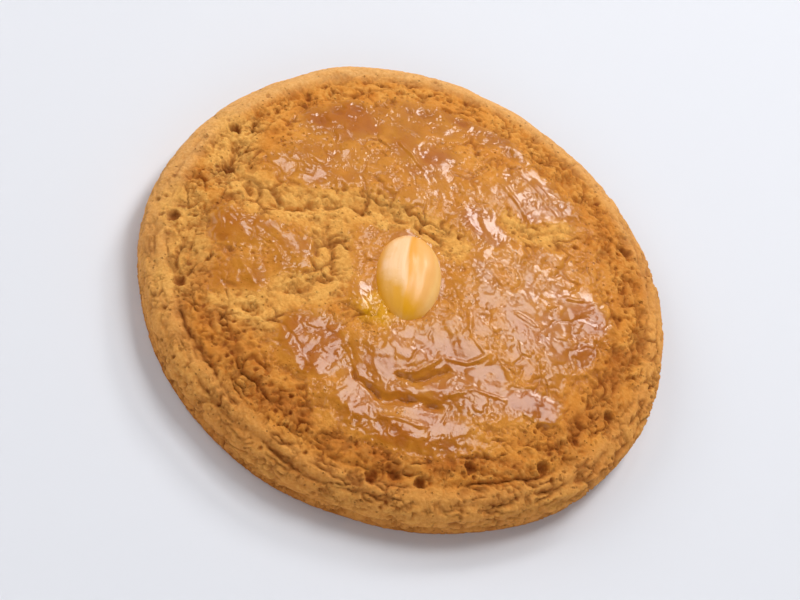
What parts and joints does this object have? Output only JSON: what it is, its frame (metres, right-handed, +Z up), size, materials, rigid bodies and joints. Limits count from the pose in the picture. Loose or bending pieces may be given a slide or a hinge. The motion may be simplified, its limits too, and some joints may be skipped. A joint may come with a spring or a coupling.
{
  "type": "glazed almond cookie",
  "caption": "Round flat-based cookie with a domed, cracked and glazed top, a smooth rolled rim and half an almond set in the middle.",
  "frame": {"origin": "middle of the flat base's box, on the surface that the cookie rests on", "axes": "+Z up out of the almond side; +Y to the far edge of the pictured view, along which the almond lies within about 17 degrees; +X to the right"},
  "size_m": [0.0952, 0.0942, 0.016],
  "materials": {
    "baked_dough": "matte, pitted and cracked baked dough, golden tan, with a glossy amber sugar and egg glaze in patches on the top",
    "almond_kernel": "satin, skinned and glazed almond, cream yellow with faint lengthwise bands"
  },
  "bodies": {
    "root": {"cookie": "baked_dough", "almond": "almond_kernel"}
  },
  "joints": []
}
